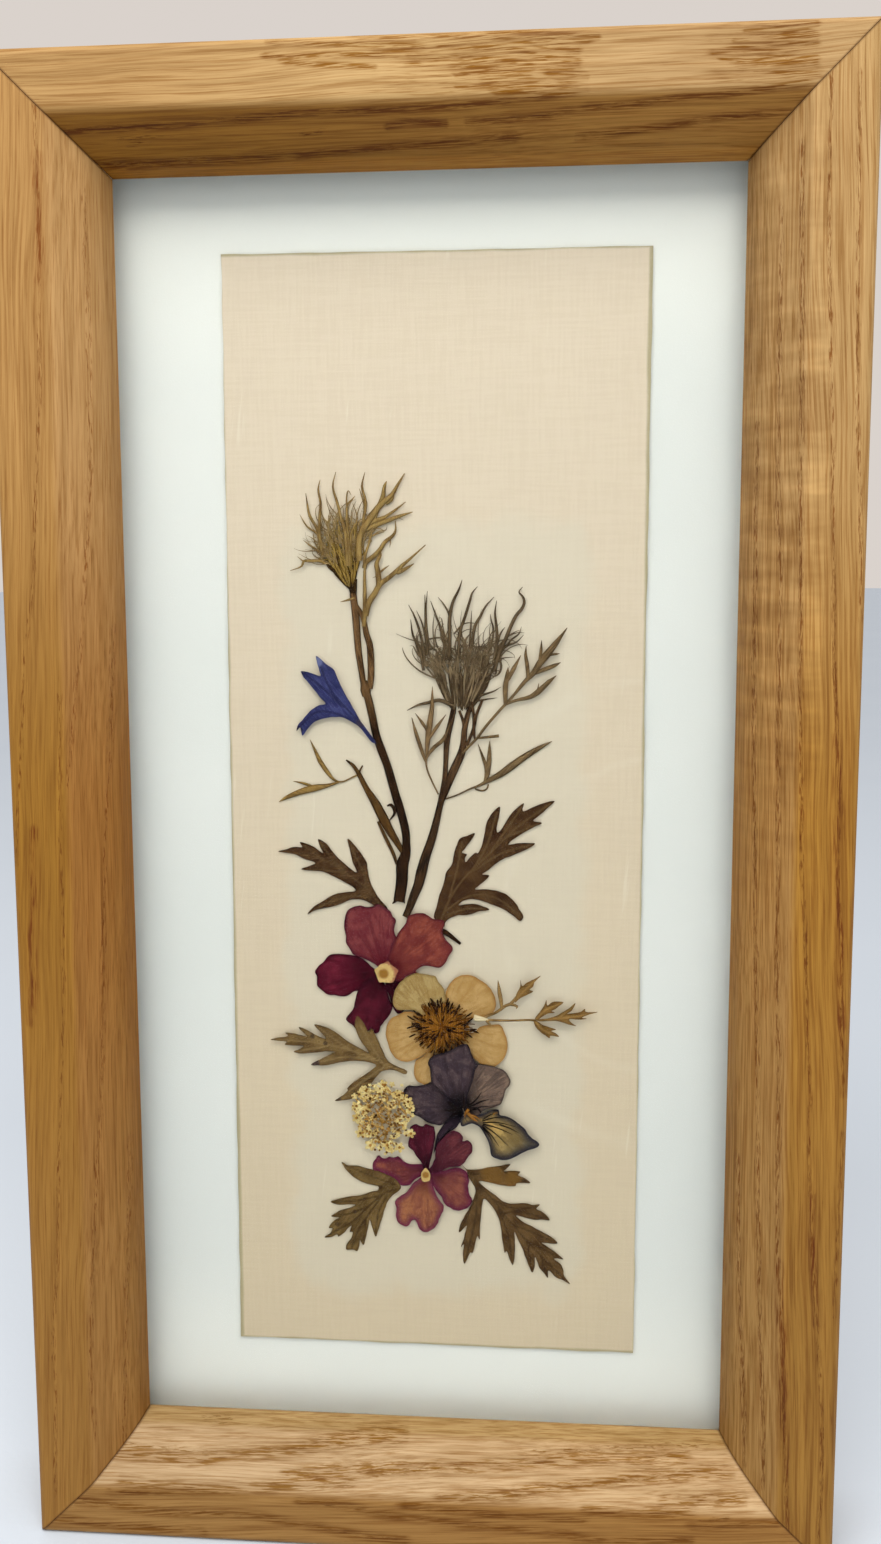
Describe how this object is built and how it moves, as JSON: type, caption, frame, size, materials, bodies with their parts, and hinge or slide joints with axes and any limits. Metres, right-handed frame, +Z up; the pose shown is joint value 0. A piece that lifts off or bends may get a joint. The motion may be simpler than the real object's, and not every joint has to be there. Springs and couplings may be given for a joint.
{
  "type": "pressed flower frame",
  "caption": "Tall mitred hardwood frame with a glazed card of pressed flowers, leaves and buds. It hangs on a toothed plate or stands on its bottom rail.",
  "frame": {"origin": "middle of the base that the frame stands on, at the bottom of its bounding box", "axes": "+Z up along the tall side, the glass faces -Y, +X to the right as seen from the front"},
  "size_m": [0.1536, 0.0262, 0.2805],
  "materials": {
    "pale_hardwood": "open-grained, waxed satin",
    "window_glass": "clear polished",
    "white_mount_board": "matt",
    "cream_card": "matt, woven texture",
    "backing_board": "bare fibreboard",
    "zinc_steel": "satin",
    "brassed_steel": "satin",
    "tan_bud": "dry, matt",
    "dark_bud": "dry, matt",
    "dark_stalk": "dry, slightly shiny",
    "tan_stalk": "dry, matt",
    "yellow_leaf": "dry, matt",
    "blue_floret": "dry, matt",
    "olive_leaf": "dry, matt",
    "dark_leaf": "dry, matt",
    "red_petal": "dry, papery",
    "pale_eye": "dry, matt",
    "cream_petal": "dry, papery, thin",
    "brown_stamens": "dry, matt",
    "tan_fern": "dry, matt",
    "cream_umbellet": "dry, matt",
    "viola_petal": "dry, papery",
    "pink_petal": "dry, papery",
    "brown_leaf": "dry, matt"
  },
  "bodies": {
    "root": {"frame_top_rail": "pale_hardwood", "frame_bottom_rail": "pale_hardwood", "frame_left_stile": "pale_hardwood", "frame_right_stile": "pale_hardwood", "glass_pane": "window_glass", "mount_board": "white_mount_board", "flower_card": "cream_card", "backing_board": "backing_board", "tab_top": "zinc_steel", "tab_bottom": "zinc_steel", "tab_left_upper": "zinc_steel", "tab_left_lower": "zinc_steel", "tab_right_upper": "zinc_steel", "tab_right_lower": "zinc_steel", "sawtooth_hanger": "brassed_steel", "hanger_pin_left": "brassed_steel", "hanger_pin_right": "brassed_steel", "left_bud": "tan_bud", "left_bud_sprig": "tan_stalk", "left_stem": "dark_stalk", "side_branch": "tan_stalk", "yellow_leaf": "yellow_leaf", "blue_floret": "blue_floret", "right_bud": "dark_bud", "right_stem": "dark_stalk", "right_small_leaf": "olive_leaf", "right_feathery_leaf": "olive_leaf", "right_low_leaf": "olive_leaf", "dark_leaf_left": "dark_leaf", "dark_leaf_right": "dark_leaf", "loose_stalk": "tan_stalk", "red_flower_petal_1": "red_petal", "cream_flower_petal_1": "cream_petal", "viola_petal_1": "viola_petal", "pink_flower_petal_1": "pink_petal", "red_flower_petal_2": "red_petal", "cream_flower_petal_2": "cream_petal", "viola_petal_2": "viola_petal", "pink_flower_petal_2": "pink_petal", "red_flower_petal_3": "red_petal", "cream_flower_petal_3": "cream_petal", "viola_petal_3": "viola_petal", "pink_flower_petal_3": "pink_petal", "red_flower_petal_4": "red_petal", "cream_flower_petal_4": "cream_petal", "viola_petal_4": "viola_petal", "pink_flower_petal_4": "pink_petal", "red_flower_petal_5": "red_petal", "cream_flower_petal_5": "cream_petal", "viola_petal_5": "viola_petal", "pink_flower_petal_5": "pink_petal", "red_flower_eye": "pale_eye", "pink_flower_eye": "pale_eye", "cream_flower_stamens": "brown_stamens", "fern_leaf": "tan_fern", "olive_leaf": "olive_leaf", "umbellet": "cream_umbellet", "low_leaf_left": "brown_leaf", "low_leaf_right": "brown_leaf"}
  },
  "joints": []
}
